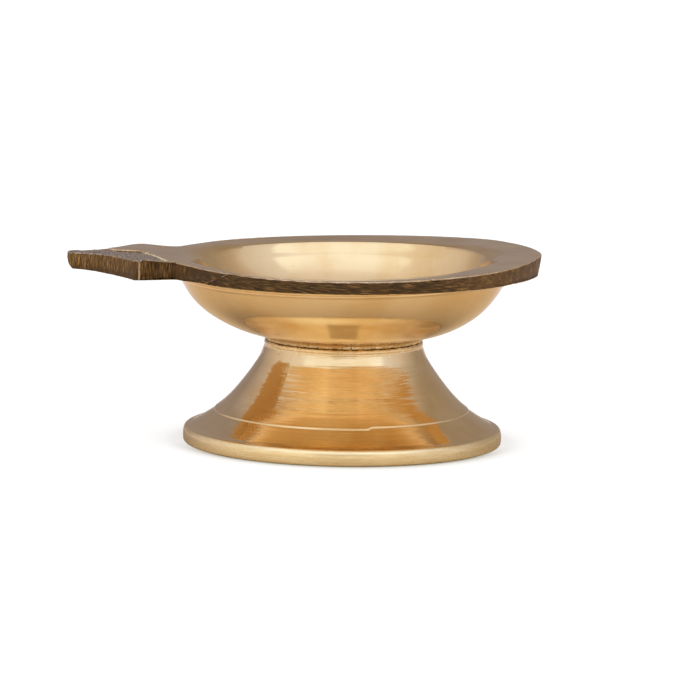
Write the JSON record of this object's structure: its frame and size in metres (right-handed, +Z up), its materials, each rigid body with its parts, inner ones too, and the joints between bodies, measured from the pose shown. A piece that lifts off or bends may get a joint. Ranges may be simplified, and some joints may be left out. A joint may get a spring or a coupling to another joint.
{
  "type": "oil lamp",
  "caption": "Diya oil lamp: shallow cast bowl with a thick leaf-shaped rim, blunt lip and flat handle, screwed onto a hollow flared foot.",
  "frame": {"origin": "centre of the foot's ring on the surface that the lamp stands on, on the axis of the foot and the stud", "axes": "+Z up along the stud, +X from the handle towards the lip"},
  "size_m": [0.1308, 0.103, 0.0533],
  "materials": {
    "bowl_brass": "polished cast brass, lathe marks, rough-filed rim edge",
    "foot_brass": "polished turned brass with fine lathe marks",
    "hardware_brass": "plain dull brass",
    "washer_steel": "zinc plated"
  },
  "bodies": {
    "foot": {"foot": "foot_brass", "washer": "washer_steel", "nut": "hardware_brass"},
    "stud": {"stud": "hardware_brass"},
    "bowl": {"bowl": "bowl_brass"}
  },
  "joints": [
    {"name": "bowl_lift", "type": "slide", "parent": "foot", "child": "stud", "axis": [0, 0, 1], "range_m": [0, 0.008]},
    {"name": "bowl_turn", "type": "hinge", "parent": "stud", "child": "bowl", "pos_m": [0, 0, 0.0286], "axis": [0, 0, 1], "range_deg": [0, 2880]}
  ],
  "couplings": [
    {"joint": "bowl_lift", "follows": "bowl_turn", "m_per_rad": 0.00015915}
  ]
}
